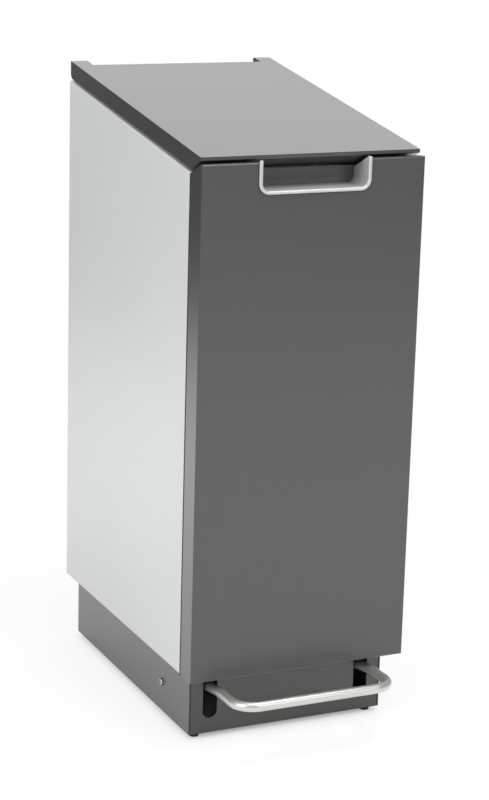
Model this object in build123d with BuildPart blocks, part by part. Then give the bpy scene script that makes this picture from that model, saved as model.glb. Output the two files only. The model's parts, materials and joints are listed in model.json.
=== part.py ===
from build123d import *
import math
import os

os.makedirs("parts", exist_ok=True)

# Driving dimensions in millimetres, angles in degrees
# Cabinet
body_width = 330.0
sheet = 1.2
fold_radius = 2.0
panel_fold_radius = 3.0
door_height = 718.0
door_depth = 36.0
door_gap = 2.5
top_return = 10.0
side_depth = 456.0
side_front_height = 702.0
side_flange = 14.0
bottom_flange = 34.0
roof_slope = 8.67

# Plinth and feet
foot_height = 8.0
foot_diameter = 14.0
foot_inset = 15.0
foot_rounding = 0.8
foot_screw_reach = 3.0
plinth_height = 92.0
plinth_side_inset = 14.5
plinth_set_back = 36.8
plinth_rear_inset = 15.7
plinth_sheet = 1.5
plinth_flange = 28.0
plinth_seam = 0.9
tongue_depth = 18.0
slot_width = 22.0
slot_inset = 32.0
slot_bottom = 21.6
slot_top = 84.0

# Lid
lid_side_inset = 2.6
lid_set_back = 11.6
lid_overhang = 4.1
lid_gap = 1.5
skirt_depth = 26.9
lip_height = 5.0
lip_run = 34.7
notch_depth = 27.0
tab_width = 26.0
tab_flange = 12.0
pan_drop = 12.0
lip_rounding = 1.2
pan_margin = 4.0
lid_opening = 70.0

# Lid hinge
hinge_inset = 11.0
hinge_rise = 11.5
hinge_pin_diameter = 8.0
knuckle_width = 9.0
ear_sheet = 2.0
bush_wall = 1.5
knuckle_foot = 4.5
base_length = 16.0
base_sheet = 3.0
knuckle_wall = 3.0
ear_wall = 5.0
pin_flange = 1.5

# Foot pedal
pedal_rod = 14.0
bar_reach = 66.0
bar_drop = 17.6
knee_back = 8.0
knee_drop = 19.8
arm_fall = 8.8
bar_bend = 30.0
knee_bend = 120.0
pivot_back = 98.0
pivot_height = 43.6
pivot_pin = 8.0
pedal_travel = 15.0
tube_diameter = 20.0
tube_wall = 2.0
lever_sheet = 4.0
rear_arm_sheet = 6.0
arm_dip = 6.9
arm_end_gap = 7.0
lever_overlap = 30.0
lever_hub_wall = 6.0
lever_tip_wall = 2.0
rear_hub_wall = 7.0
rear_tip_wall = 3.0
bush_flange = 1.5
bush_length = 16.0
stop_reach = 164.5
stop_width = 16.0
stop_gap = 1.0

# Push rod
rod_diameter = 8.0
clevis_pin = 8.0
fork_sheet = 4.0
fork_depth = 14.0
crank_sheet = 5.0
crank_end = 9.0
lever_slot_play = 1.8
lever_slot_front = 3.5
lever_slot_rear = 1.0
lower_bridge = 16.0
upper_bridge = 20.0
bridge_height = 6.0
crank_foot_start = 8.0
crank_foot_margin = 3.0

# Drawer, runners and liner
shield_clearance = 10.6
shield_gap = 4.0
drawer_floor = 8.0
tray_height = 82.0
runner_height = 45.0
runner_width = 12.7
runner_lift = 32.0
runner_gap = 0.8
runner_front_gap = 2.5
runner_rear_gap = 7.0
runner_lap = 2.0
rail_margin = 6.0
liner_wall = 1.0
liner_clearance = 6.0
liner_taper = 8.0
liner_height = 664.0
liner_corner = 28.0
liner_rim = 4.0

# Top deck
deck_front = 24.0
deck_apron = 20.0
deck_side_gap = 2.6
deck_rear_gap = 2.5
mouth_corner = 8.0
mouth_rear_margin = 8.0
link_slot_width = 28.0
link_slot_margin = 4.0
link_slot_rear = 12.0
collar_margin = 15.0
collar_height = 10.5
seal_width = 5.0
seal_height = 7.0

# Grip
grip_width = 166.6
grip_drop = 43.0
grip_rise = 3.0
grip_depth = 41.0
grip_wall = 2.0
grip_bead = 5.4
bead_proud = 3.0
grip_corner = 15.5
bead_rounding = 2.2
grip_wall_gap = 5.5
grip_back_gap = 3.0
return_gap = 7.1

# Catches
catch_spacing = 231.0
catch_width = 40.0
catch_height = 13.0
catch_rounding = 2.0
strike_sheet = 1.0
strike_margin = 2.0

# Screws
screw_shank = 2.5
screw_head = 4.2
screw_head_height = 2.6
screw_length = 8.0
small_length = 6.0
small_shank = 2.0
small_head = 3.4
small_head_height = 2.2
plinth_bolt_front = 70.0
plinth_bolt_shield_gap = 13.117
rear_bolt_inset = 70.0
deck_bolt_inset = 10.4
deck_bolt_front = 60.0
deck_bolt_rear = 120.0
hinge_bolt_offset = 5.5
tray_bolt_inset = 42.0
tray_bolt_low = 18.0
tray_bolt_high = 66.0
pivot_head = 5.6
pivot_head_height = 3.4
nut_height = 5.0
nut_radius = 7.0

# Clearances
screw_play = 0.15
running = 0.05
play = 0.3
fit = 0.5
over = 1.0

# Places worked out from the driving dimensions
half = body_width / 2
slope_sin = math.sin(math.radians(roof_slope))
slope_cos = math.cos(math.radians(roof_slope))
slope_tan = slope_sin / slope_cos

reach_front = bar_reach + pedal_rod / 2
reach_rear = door_depth + door_gap + side_depth + lid_overhang
door_y = (reach_front - reach_rear) / 2
cabinet_z = foot_height + plinth_height
side_y = door_y + door_depth + door_gap
rear_y = side_y + side_depth
side_top_z = cabinet_z + side_front_height
inner_half = half - sheet


def roof_z(y):
    """Height of the side panels' sloping top edge at y."""
    return side_top_z + (y - side_y) * slope_tan


# Local x is across the cabinet, local y up the slope and local z square to the roof
roof = Plane(origin=(0, side_y, side_top_z), x_dir=(1, 0, 0), z_dir=(0, -slope_sin, slope_cos))

lid_y0 = door_y + lid_set_back
lid_y1 = rear_y + lid_overhang
lid_half = half - lid_side_inset
lid_under = (lid_gap + skirt_depth) * slope_cos - sheet
pan_under = lid_under - pan_drop

hinge_y = lid_y1 - hinge_inset
hinge_z = roof_z(hinge_y) + lid_gap + hinge_rise / slope_cos
hinge_x = lid_half - tab_width / 2
bush_outer = hinge_pin_diameter / 2 + running + bush_wall
ear_round = hinge_pin_diameter / 2 + ear_wall
base_y = hinge_y - ear_round - base_length / 2 - over

plinth_half = half - plinth_side_inset
plinth_y0 = door_y + plinth_set_back
plinth_y1 = rear_y - plinth_rear_inset
slot_x = plinth_half - slot_inset
pivot_y = plinth_y0 + pivot_back
pivot_z = foot_height + pivot_height

# The rear arm and the lid's crank give the push rod the same stroke
half_opening = math.radians(lid_opening / 2)
dip = math.radians(arm_dip)
lift = math.radians(pedal_travel) - dip
crank_share = (math.sin(lift) + math.sin(dip)) / (2 * math.sin(half_opening))
arm_length = (hinge_y - pivot_y) / (math.cos(dip) + crank_share * math.cos(half_opening))
crank_length = arm_length * crank_share
rod_y = pivot_y + arm_length * math.cos(dip)
lower_pin_z = pivot_z - arm_length * math.sin(dip)
upper_pin_z = hinge_z - crank_length * math.sin(half_opening)
rod_sway = crank_length * (1 - math.cos(half_opening))

# Drawer space
drawer_y0 = door_y + door_depth
shield_y = rod_y - rod_sway - fork_depth / 2 - shield_clearance
drawer_y1 = shield_y - shield_gap
floor_z = cabinet_z + sheet
tray_z = cabinet_z + drawer_floor
runner_outer_x = half - side_flange - runner_gap
tray_half = runner_outer_x - runner_width
runner_z = tray_z + runner_lift
runner_y0 = side_y + runner_front_gap
runner_y1 = drawer_y1 - runner_rear_gap
liner_z = tray_z + sheet

# Deck opening
deck_half = lid_half - sheet - deck_side_gap
deck_y0 = side_y + deck_front
deck_y1 = rear_y - deck_rear_gap
mouth_half = tray_half
mouth_y0 = deck_y0 + collar_margin
mouth_y1 = shield_y - mouth_rear_margin


def along(y):
    """Distance up the slope from the roof plane's origin to the point of the plane at y."""
    return (y - side_y) / slope_cos


def box(x0, x1, y0, y1, z0, z1, mode=Mode.ADD):
    """A block between two opposite corners."""
    with Locations(((x0 + x1) / 2, (y0 + y1) / 2, (z0 + z1) / 2)):
        Box(abs(x1 - x0), abs(y1 - y0), abs(z1 - z0), mode=mode)


def disc(x0, x1, y, z, radius, mode=Mode.ADD):
    """A round block along X."""
    with Locations(Location(((x0 + x1) / 2, y, z), (0, 90, 0))):
        Cylinder(radius, abs(x1 - x0), mode=mode)


def side_profile(points, x0, x1, mode=Mode.ADD):
    """A block with a YZ outline, from x0 to x1."""
    with BuildSketch(Plane.YZ.offset(min(x0, x1))) as outline:
        with BuildLine():
            Polyline(*points, close=True)
        make_face()
    extrude(outline.sketch, amount=abs(x1 - x0), mode=mode)


def socket_screw(shank_radius, length, head_radius, head_height):
    """A button head screw standing on z = 0, with its shank pointing down."""
    with BuildPart(mode=Mode.PRIVATE) as screw:
        Cylinder(head_radius, head_height, align=(Align.CENTER, Align.CENTER, Align.MIN))
        fillet(screw.edges().group_by(Axis.Z)[-1], head_height * 0.55)
        with BuildSketch(Plane.XY.offset(head_height)):
            RegularPolygon(head_radius * 0.42, 6)
        extrude(amount=-head_height * 0.6, mode=Mode.SUBTRACT)
        Cylinder(shank_radius, length, align=(Align.CENTER, Align.CENTER, Align.MAX))
    return screw.part


def put(piece, *places):
    """Copies of a finished piece at the given locations."""
    with Locations(*places):
        add(piece)


def hull(circles, points, x0, x1, mode=Mode.ADD):
    """A plate from x0 to x1 whose YZ outline wraps circles (y, z, radius) and points."""
    with BuildSketch(Plane.YZ.offset(min(x0, x1))) as outline:
        for y, z, radius in circles:
            with Locations((y, z)):
                Circle(radius)
        if points:
            with BuildLine():
                Polyline(*points)
        make_hull()
    extrude(outline.sketch, amount=abs(x1 - x0), mode=mode)


def u_block(width, bottom, top, radius, y0, y1, mode=Mode.ADD):
    """A block from y0 to y1 that is square at the top and round at its lower corners."""
    with BuildSketch(Plane.XZ.offset(-y1)) as outline:
        with Locations((0, (bottom + top) / 2)):
            Rectangle(width, top - bottom)
        fillet(outline.vertices().group_by(Axis.Y)[0], radius)
    extrude(outline.sketch, amount=y1 - y0, mode=mode)


def channel(x_web, x_tip, y0, y1, z0, z1):
    """A C section along Y, its web at x_web and its open side at x_tip."""
    wall = math.copysign(sheet, x_tip - x_web)
    box(x_web, x_tip, y0, y1, z0, z1)
    box(x_web + wall, x_tip + wall, y0, y1, z0 + sheet, z1 - sheet, Mode.SUBTRACT)


def on_roof(x, y, height):
    """A location on the roof plane, lifted square to it."""
    return roof.location * Location((x, along(y), height))


sides = ((-1, "left"), (1, "right"))

# Screws that hold the plinth, the side panels' bottom flanges and the floor panel together
plinth_bolt_x = (plinth_half + half - bottom_flange) / 2
plinth_bolts = [
    (x, y, floor_z + sheet)
    for x in (-plinth_bolt_x, plinth_bolt_x)
    for y in (plinth_y0 + plinth_bolt_front, shield_y - plinth_bolt_shield_gap)
]
# Screws that hold the rear panel to the side panels' rear flanges
rear_bolts = [
    (x, rear_y, z)
    for x in (-half + side_flange / 2 + over, half - side_flange / 2 - over)
    for z in (cabinet_z + rear_bolt_inset, (cabinet_z + side_top_z) / 2,
              side_top_z - rear_bolt_inset)
]
# Screws that hold the top deck to the side panels' top flanges
deck_bolts = [
    (x, y)
    for x in (-half + deck_bolt_inset, half - deck_bolt_inset)
    for y in (deck_y0 + deck_bolt_front, deck_y1 - deck_bolt_rear)
]

# Screws that hold the hinge knuckles to the deck
hinge_bolts = [
    (side * (hinge_x + offset), base_y)
    for side, name in sides
    for offset in (-hinge_bolt_offset, hinge_bolt_offset)
]
# Screws that hold the tray to the front's inner panel
tray_bolts = [
    (x, drawer_y0 + sheet, tray_z + height)
    for x in (-tray_half + tray_bolt_inset, tray_half - tray_bolt_inset)
    for height in (tray_bolt_low, tray_bolt_high)
]

# Side panels: folded sheet with a flange on all four edges
side_outline = (
    (side_y, cabinet_z),
    (rear_y, cabinet_z),
    (rear_y, roof_z(rear_y)),
    (side_y, side_top_z),
)
side_inside = (
    (side_y + sheet, cabinet_z + sheet),
    (rear_y - sheet, cabinet_z + sheet),
    (rear_y - sheet, roof_z(rear_y - sheet) - sheet / slope_cos),
    (side_y + sheet, roof_z(side_y + sheet) - sheet / slope_cos),
)
for side, name in sides:
    flange_tip = side * (half - bottom_flange)
    with BuildPart() as side_panel:
        side_profile(side_outline, side * half, flange_tip)
        outer_face = side_panel.faces().filter_by(Axis.X).sort_by(Axis.X)[0 if side < 0 else -1]
        fillet(outer_face.edges(), panel_fold_radius)
        side_profile(side_inside, side * inner_half, flange_tip, Mode.SUBTRACT)
        box(side * (half - side_flange), flange_tip, side_y, rear_y,
            floor_z, roof_z(rear_y), Mode.SUBTRACT)
        with Locations(*plinth_bolts):
            Cylinder(screw_shank + screw_play, 4 * sheet, mode=Mode.SUBTRACT)
        with Locations(*[Location(place, (90, 0, 0)) for place in rear_bolts]):
            Cylinder(screw_shank + screw_play, 4 * sheet, mode=Mode.SUBTRACT)
        with Locations(*[on_roof(x, y, 0) for x, y in deck_bolts + hinge_bolts]):
            Cylinder(small_shank + screw_play, 4 * sheet, mode=Mode.SUBTRACT)
    side_panel.part.label = f"side_panel_{name}"
    export_step(side_panel.part, f"parts/side_panel_{name}.step")

# Floor panel with an upturned rear flange
with BuildPart() as floor_panel:
    box(-inner_half + play, inner_half - play, side_y + 2 * sheet, shield_y, floor_z,
        floor_z + sheet)
    box(-half + bottom_flange, half - bottom_flange, shield_y - sheet, shield_y,
        floor_z, floor_z + side_flange)
    with Locations(*plinth_bolts):
        Cylinder(screw_shank + screw_play, 4 * sheet, mode=Mode.SUBTRACT)
floor_panel.part.label = "floor_panel"
export_step(floor_panel.part, "parts/floor_panel.step")

# Shield between the drawer and the linkage, its top edge cut to the roof's slope
with BuildPart() as linkage_shield:
    side_profile(
        (
            (shield_y, floor_z),
            (shield_y + sheet, floor_z),
            (shield_y + sheet, roof_z(shield_y + sheet) - sheet / slope_cos),
            (shield_y, roof_z(shield_y) - sheet / slope_cos),
        ),
        -inner_half + play,
        inner_half - play,
    )
linkage_shield.part.label = "linkage_shield"
export_step(linkage_shield.part, "parts/linkage_shield.step")

# Rear panel inside the side panels' rear flanges, folded forward at the bottom
rear_inner_y = rear_y - 2 * sheet
with BuildPart() as rear_panel:
    box(-inner_half + play, inner_half - play, rear_inner_y, rear_inner_y + sheet,
        floor_z, roof_z(rear_inner_y) - 2 * sheet)
    box(-half + bottom_flange, half - bottom_flange, rear_inner_y - side_flange, rear_inner_y,
        floor_z, floor_z + sheet)
    with Locations(*[Location(place, (90, 0, 0)) for place in rear_bolts]):
        Cylinder(screw_shank + screw_play, 8 * sheet, mode=Mode.SUBTRACT)
rear_panel.part.label = "rear_panel"
export_step(rear_panel.part, "parts/rear_panel.step")

# Top deck: sloping sheet on the side panels' top flanges, with the waste mouth in a raised
# collar, a slot for the linkage and a front apron
mouth_a0 = along(mouth_y0)
mouth_a1 = along(mouth_y1)
mouth_mid = (mouth_a0 + mouth_a1) / 2
mouth_size = mouth_a1 - mouth_a0
link_y0 = rod_y - rod_sway - fork_depth / 2 - link_slot_margin
link_y1 = hinge_y - link_slot_rear
link_half = link_slot_width / 2


def ring(inside, outside, z0, z1):
    """A rectangular ring on the roof plane round the mouth, between two offsets from its edge."""
    with BuildSketch(roof.offset(z0)) as outline:
        with Locations((0, mouth_mid)):
            RectangleRounded(2 * (mouth_half + outside), mouth_size + 2 * outside,
                             mouth_corner + outside)
            RectangleRounded(2 * (mouth_half + inside), mouth_size + 2 * inside,
                             mouth_corner + inside, mode=Mode.SUBTRACT)
    extrude(outline.sketch, amount=z1 - z0)


with BuildPart() as top_deck:
    with BuildSketch(roof):
        with Locations((0, (along(deck_y0) + along(deck_y1)) / 2)):
            Rectangle(2 * deck_half, along(deck_y1) - along(deck_y0))
        with Locations((0, mouth_mid)):
            RectangleRounded(2 * mouth_half, mouth_size, mouth_corner, mode=Mode.SUBTRACT)
        with Locations((0, (along(link_y0) + along(link_y1)) / 2)):
            Rectangle(2 * link_half, along(link_y1) - along(link_y0), mode=Mode.SUBTRACT)
    extrude(amount=sheet)
    ring(0, sheet, 0, collar_height)
    box(-half + side_flange + play, half - side_flange - play, deck_y0, deck_y0 + sheet,
        roof_z(deck_y0) - deck_apron, roof_z(deck_y0) + sheet / 2)
    with Locations(*[on_roof(x, y, 0) for x, y in deck_bolts + hinge_bolts]):
        Cylinder(small_shank + screw_play, 4 * sheet, mode=Mode.SUBTRACT)
top_deck.part.label = "top_deck"
export_step(top_deck.part, "parts/top_deck.step")

# Rubber seal pushed over the collar's edge
seal_side = (seal_width - sheet) / 2
seal_top = pan_under - play
with BuildPart() as mouth_seal:
    ring(-seal_side, sheet + seal_side, collar_height, seal_top)
    ring(-seal_side, 0, seal_top - seal_height, collar_height)
    ring(sheet, sheet + seal_side, seal_top - seal_height, collar_height)
mouth_seal.part.label = "mouth_seal"
export_step(mouth_seal.part, "parts/mouth_seal.step")

# Hinge knuckles on the deck, with a round bore for the bush
knuckle_round = bush_outer + knuckle_wall
knuckle_y0 = base_y + small_head + fit
for side, name in sides:
    x_mid = side * hinge_x
    with BuildPart() as hinge_knuckle:
        with Locations(on_roof(x_mid, base_y, sheet + base_sheet / 2)):
            Box(knuckle_width + 2 * knuckle_foot, base_length, base_sheet)
        hull(
            [(hinge_y, hinge_z, knuckle_round)],
            [(y, roof_z(y) + sheet / slope_cos) for y in (knuckle_y0, hinge_y + ear_round)],
            x_mid - knuckle_width / 2,
            x_mid + knuckle_width / 2,
        )
        disc(x_mid - knuckle_width, x_mid + knuckle_width, hinge_y, hinge_z,
             bush_outer + running, Mode.SUBTRACT)
        with Locations(*[on_roof(x, y, 0) for x, y in hinge_bolts]):
            Cylinder(small_shank + screw_play, 20 * sheet, mode=Mode.SUBTRACT)
    hinge_knuckle.part.label = f"hinge_knuckle_{name}"
    export_step(hinge_knuckle.part, f"parts/hinge_knuckle_{name}.step")

with BuildPart() as hinge_bushes:
    for side, name in sides:
        x0 = side * hinge_x - knuckle_width / 2
        disc(x0, x0 + knuckle_width, hinge_y, hinge_z, bush_outer)
        disc(x0, x0 + knuckle_width, hinge_y, hinge_z, bush_outer - bush_wall, Mode.SUBTRACT)
hinge_bushes.part.label = "hinge_bushes"
export_step(hinge_bushes.part, "parts/hinge_bushes.step")

# Lid shell: folded sheet with side skirts, a front lip whose flange slopes back and down,
# and a notch at the rear between two tabs
lip_z = roof_z(lid_y0) + lid_gap + skirt_depth - lip_height
flange_y = lid_y0 + lip_run
flange_z = roof_z(flange_y) + lid_gap
lip_fall = (flange_z - lip_z) / lip_run


def lid_z(y, depth):
    """Height of the plane that lies depth below the lid's top face, square to it."""
    return roof_z(y) + lid_gap + skirt_depth - depth / slope_cos


def lip_line(y):
    """Height of the lid's front flange, seen from the side, at y."""
    return lip_z + (y - lid_y0) * lip_fall


notch_y = lid_y1 - notch_depth
flange_drop = sheet / math.cos(math.atan(lip_fall))
with BuildPart() as lid_shell:
    side_profile(
        (
            (lid_y0, lid_z(lid_y0, 0)),
            (lid_y1, lid_z(lid_y1, 0)),
            (lid_y1, roof_z(lid_y1) + lid_gap),
            (flange_y, flange_z),
            (lid_y0, lip_z),
        ),
        -lid_half,
        lid_half,
    )
    cross_edges = lid_shell.edges().filter_by(Axis.X)
    fillet(cross_edges.group_by(Axis.Y)[-1].sort_by(Axis.Z)[0], hinge_inset - play)
    lid_top = lid_shell.faces().sort_by(Axis.Z)[-1]
    fillet(lid_top.edges().sort_by(Axis.Y)[:-1], panel_fold_radius)
    front_edges = lid_shell.edges().filter_by(Axis.X).group_by(Axis.Y)[0]
    fillet(front_edges.sort_by(Axis.Z)[0], lip_rounding)
    side_profile(
        (
            (lid_y0 + sheet, lid_z(lid_y0 + sheet, sheet)),
            (notch_y - sheet, lid_z(notch_y - sheet, sheet)),
            (notch_y - sheet, roof_z(notch_y) - over),
            (flange_y, flange_z - 4 * over),
            (flange_y, flange_z + flange_drop),
            (lid_y0 + sheet, lip_line(lid_y0 + sheet) + flange_drop),
        ),
        -lid_half + sheet,
        lid_half - sheet,
        Mode.SUBTRACT,
    )
    tab_inner = lid_half - tab_width
    for side, name in sides:
        side_profile(
            (
                (notch_y - 2 * sheet, lid_z(notch_y - 2 * sheet, sheet)),
                (lid_y1 + over, lid_z(lid_y1 + over, sheet)),
                (lid_y1 + over, roof_z(lid_y1) - over),
                (notch_y - 2 * sheet, roof_z(notch_y) - over),
            ),
            side * (lid_half - sheet),
            side * (tab_inner + sheet),
            Mode.SUBTRACT,
        )
    box(-tab_inner, tab_inner, notch_y, lid_y1 + over, side_top_z, lid_z(lid_y1, 0) + over,
        Mode.SUBTRACT)
    side_profile(
        (
            (notch_y - 2 * sheet, lid_z(notch_y - 2 * sheet, tab_flange)),
            (lid_y1 + over, lid_z(lid_y1 + over, tab_flange)),
            (lid_y1 + over, roof_z(lid_y1) - over),
            (notch_y - 2 * sheet, roof_z(notch_y) - over),
        ),
        -lid_half + sheet,
        lid_half - sheet,
        Mode.SUBTRACT,
    )
lid_shell.part.label = "lid_shell"
export_step(lid_shell.part, "parts/lid_shell.step")

# Inner pan under the lid, which closes on the seal
pan_a0 = along(mouth_y0 - seal_width - pan_margin)
pan_a1 = along(mouth_y1 + seal_width + pan_margin / 2)
pan_half = mouth_half + seal_width + pan_margin
with BuildPart() as lid_pan:
    with Locations(roof.location * Location((0, (pan_a0 + pan_a1) / 2, pan_under))):
        Box(2 * pan_half, pan_a1 - pan_a0, pan_drop, align=(Align.CENTER, Align.CENTER, Align.MIN))
    with Locations(roof.location * Location((0, (pan_a0 + pan_a1) / 2, pan_under + sheet))):
        Box(2 * (pan_half - sheet), pan_a1 - pan_a0 - 2 * sheet, pan_drop,
            align=(Align.CENTER, Align.CENTER, Align.MIN), mode=Mode.SUBTRACT)
lid_pan.part.label = "lid_pan"
export_step(lid_pan.part, "parts/lid_pan.step")

# Hinge ears under the lid's tabs, either side of each knuckle
ear_gap = knuckle_width / 2 + play
ear_y0 = hinge_y - ear_round + ear_sheet
ear_y1 = hinge_y + ear_round - ear_sheet
for side, name in sides:
    with BuildPart() as hinge_ears:
        x_mid = side * hinge_x
        for x0 in (x_mid - ear_gap - ear_sheet, x_mid + ear_gap):
            hull(
                [(hinge_y, hinge_z, ear_round)],
                [(y, lid_z(y, sheet)) for y in (ear_y0, ear_y1)],
                x0,
                x0 + ear_sheet,
            )
        side_profile(
            (
                (ear_y0, lid_z(ear_y0, sheet)),
                (ear_y1, lid_z(ear_y1, sheet)),
                (ear_y1, lid_z(ear_y1, sheet + ear_sheet)),
                (ear_y0, lid_z(ear_y0, sheet + ear_sheet)),
            ),
            x_mid - ear_gap - ear_sheet,
            x_mid + ear_gap + ear_sheet,
        )
        disc(x_mid - ear_gap - 2 * ear_sheet, x_mid + ear_gap + 2 * ear_sheet, hinge_y, hinge_z,
             hinge_pin_diameter / 2 + running, Mode.SUBTRACT)
    hinge_ears.part.label = f"hinge_ears_{name}"
    export_step(hinge_ears.part, f"parts/hinge_ears_{name}.step")

with BuildPart() as hinge_pins:
    for side, name in sides:
        x_in = side * (hinge_x - ear_gap - ear_sheet)
        x_out = side * (hinge_x + ear_gap + ear_sheet)
        disc(x_in, x_out, hinge_y, hinge_z, hinge_pin_diameter / 2)
        disc(x_in, x_in - side * pin_flange, hinge_y, hinge_z,
             hinge_pin_diameter / 2 + pin_flange)
        disc(x_out, x_out + side * over, hinge_y, hinge_z, hinge_pin_diameter / 2 + over)
hinge_pins.part.label = "hinge_pins"
export_step(hinge_pins.part, "parts/hinge_pins.step")

# Crank plate under the lid, which the push rod lifts
crank_y0 = rod_y + crank_foot_start
crank_y1 = notch_y - 2 * sheet - over
with BuildPart() as lid_crank:
    hull(
        [(rod_y, upper_pin_z, crank_end)],
        [(y, lid_z(y, sheet + base_sheet)) for y in (crank_y0, crank_y1)],
        -crank_sheet / 2,
        crank_sheet / 2,
    )
    side_profile(
        (
            (crank_y0 - crank_foot_margin, lid_z(crank_y0 - crank_foot_margin, sheet)),
            (crank_y1, lid_z(crank_y1, sheet)),
            (crank_y1, lid_z(crank_y1, sheet + base_sheet)),
            (crank_y0 - crank_foot_margin, lid_z(crank_y0 - crank_foot_margin, sheet + base_sheet)),
        ),
        -link_half,
        link_half,
    )
    disc(-crank_sheet, crank_sheet, rod_y, upper_pin_z, clevis_pin / 2 + running, Mode.SUBTRACT)
lid_crank.part.label = "lid_crank"
export_step(lid_crank.part, "parts/lid_crank.step")

# Push rod with a fork at each end
fork_half = fork_depth / 2


def fork(pin_z, plate, bridge, up):
    """A fork round a plate, with its bridge above the pin (up = 1) or below it (up = -1)."""
    gap = plate / 2 + play
    near = pin_z + up * bridge
    far = near + up * bridge_height
    for x in (-1, 1):
        hull([(rod_y, pin_z, fork_half)],
             [(rod_y - fork_half, near), (rod_y + fork_half, near)],
             x * gap, x * (gap + fork_sheet))
    box(-gap - fork_sheet, gap + fork_sheet, rod_y - fork_half, rod_y + fork_half, near, far)
    disc(-gap - 2 * fork_sheet, gap + 2 * fork_sheet, rod_y, pin_z, clevis_pin / 2 + running,
         Mode.SUBTRACT)


with BuildPart() as lower_fork:
    fork(lower_pin_z, rear_arm_sheet, lower_bridge, 1)
lower_fork.part.label = "lower_fork"
export_step(lower_fork.part, "parts/lower_fork.step")

with BuildPart() as upper_fork:
    fork(upper_pin_z, crank_sheet, upper_bridge, -1)
upper_fork.part.label = "upper_fork"
export_step(upper_fork.part, "parts/upper_fork.step")

rod_z0 = lower_pin_z + lower_bridge + bridge_height
rod_z1 = upper_pin_z - upper_bridge - bridge_height
with BuildPart() as push_rod:
    with Locations((0, rod_y, (rod_z0 + rod_z1) / 2)):
        Cylinder(rod_diameter / 2, rod_z1 - rod_z0)
push_rod.part.label = "push_rod"
export_step(push_rod.part, "parts/push_rod.step")

with BuildPart() as rod_nuts:
    for z in (rod_z0, rod_z1 - nut_height):
        with BuildSketch(Plane.XY.offset(z)) as outline:
            with Locations((0, rod_y)):
                RegularPolygon(nut_radius, 6)
                Circle(rod_diameter / 2 + running, mode=Mode.SUBTRACT)
        extrude(outline.sketch, amount=nut_height)
rod_nuts.part.label = "rod_nuts"
export_step(rod_nuts.part, "parts/rod_nuts.step")

with BuildPart() as clevis_pins:
    for pin_z, plate in ((lower_pin_z, rear_arm_sheet), (upper_pin_z, crank_sheet)):
        x_end = plate / 2 + play + fork_sheet
        disc(-x_end, x_end, rod_y, pin_z, clevis_pin / 2)
        disc(-x_end - pin_flange, -x_end, rod_y, pin_z, clevis_pin / 2 + pin_flange)
        disc(x_end, x_end + over, rod_y, pin_z, clevis_pin / 2 + pin_flange)
clevis_pins.part.label = "clevis_pins"
export_step(clevis_pins.part, "parts/clevis_pins.step")

# Plinth shell: side and rear walls with inward flanges at the top and the bottom
plinth_z1 = foot_height + plinth_height
shell_y0 = plinth_y0 + plinth_sheet + plinth_seam
plinth_inner = plinth_half - plinth_sheet
foot_places = [
    (x, y)
    for x in (-plinth_half + foot_inset, plinth_half - foot_inset)
    for y in (plinth_y0 + foot_inset, plinth_y1 - foot_inset)
]
with BuildPart() as plinth_shell:
    box(-plinth_half, plinth_half, plinth_y0, plinth_y1, foot_height, plinth_z1)
    rear_face = plinth_shell.faces().sort_by(Axis.Y)[-1]
    fillet(rear_face.edges().filter_by(Axis.Z), fold_radius)
    box(-plinth_inner, plinth_inner, plinth_y0 - over, plinth_y1 - plinth_sheet,
        foot_height + plinth_sheet, plinth_z1 - plinth_sheet, Mode.SUBTRACT)
    box(-plinth_inner, plinth_inner, plinth_y0 - over, shell_y0, foot_height - over,
        plinth_z1 + over, Mode.SUBTRACT)
    box(-plinth_half + plinth_flange, plinth_half - plinth_flange, plinth_y0 - over,
        plinth_y1 - plinth_flange, foot_height - over, plinth_z1 + over, Mode.SUBTRACT)
    disc(-half, half, pivot_y, pivot_z, pivot_pin / 2 + running, Mode.SUBTRACT)
    with Locations(*plinth_bolts):
        Cylinder(screw_shank + screw_play, 12 * sheet, mode=Mode.SUBTRACT)
    with Locations(*[(x, y, foot_height) for x, y in foot_places]):
        Cylinder(screw_shank + screw_play, 6 * sheet, mode=Mode.SUBTRACT)
plinth_shell.part.label = "plinth_shell"
export_step(plinth_shell.part, "parts/plinth_shell.step")

# Plinth front between the side walls, with two upright slots for the pedal's arms and flanges
# between the side ones
front_half = plinth_inner - plinth_seam
with BuildPart() as plinth_front:
    box(-front_half, front_half, plinth_y0, plinth_y0 + plinth_sheet, foot_height, plinth_z1)
    front_face = plinth_front.faces().sort_by(Axis.Y)[0]
    fillet(front_face.edges().filter_by(Axis.Z), plinth_sheet * 0.5)
    tongue = plinth_half - plinth_flange - play
    for z in (foot_height, plinth_z1 - plinth_sheet):
        box(-tongue, tongue, plinth_y0 + plinth_sheet / 2, plinth_y0 + tongue_depth,
            z, z + plinth_sheet)
    slot_length = slot_top - slot_bottom
    with BuildSketch(Plane.XZ.offset(-plinth_y0 - 2 * plinth_sheet)) as slots:
        slot_mid = foot_height + (slot_top + slot_bottom) / 2
        with Locations(Location((-slot_x, slot_mid), 90), Location((slot_x, slot_mid), 90)):
            SlotOverall(slot_length, slot_width)
    extrude(slots.sketch, amount=4 * plinth_sheet, mode=Mode.SUBTRACT)
plinth_front.part.label = "plinth_front"
export_step(plinth_front.part, "parts/plinth_front.step")

# Rubber feet under the plinth's bottom flanges
with BuildPart() as rubber_feet:
    with Locations(*[(x, y, 0) for x, y in foot_places]):
        Cylinder(foot_diameter / 2, foot_height, align=(Align.CENTER, Align.CENTER, Align.MIN))
    fillet(rubber_feet.edges().group_by(Axis.Z)[0], foot_rounding)
    recess = foot_height / 2
    with Locations(*[(x, y, 0) for x, y in foot_places]):
        Cylinder(screw_head + play, 2 * recess, mode=Mode.SUBTRACT)
        Cylinder(screw_shank + screw_play, 3 * foot_height, mode=Mode.SUBTRACT)
rubber_feet.part.label = "rubber_feet"
export_step(rubber_feet.part, "parts/rubber_feet.step")

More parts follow.
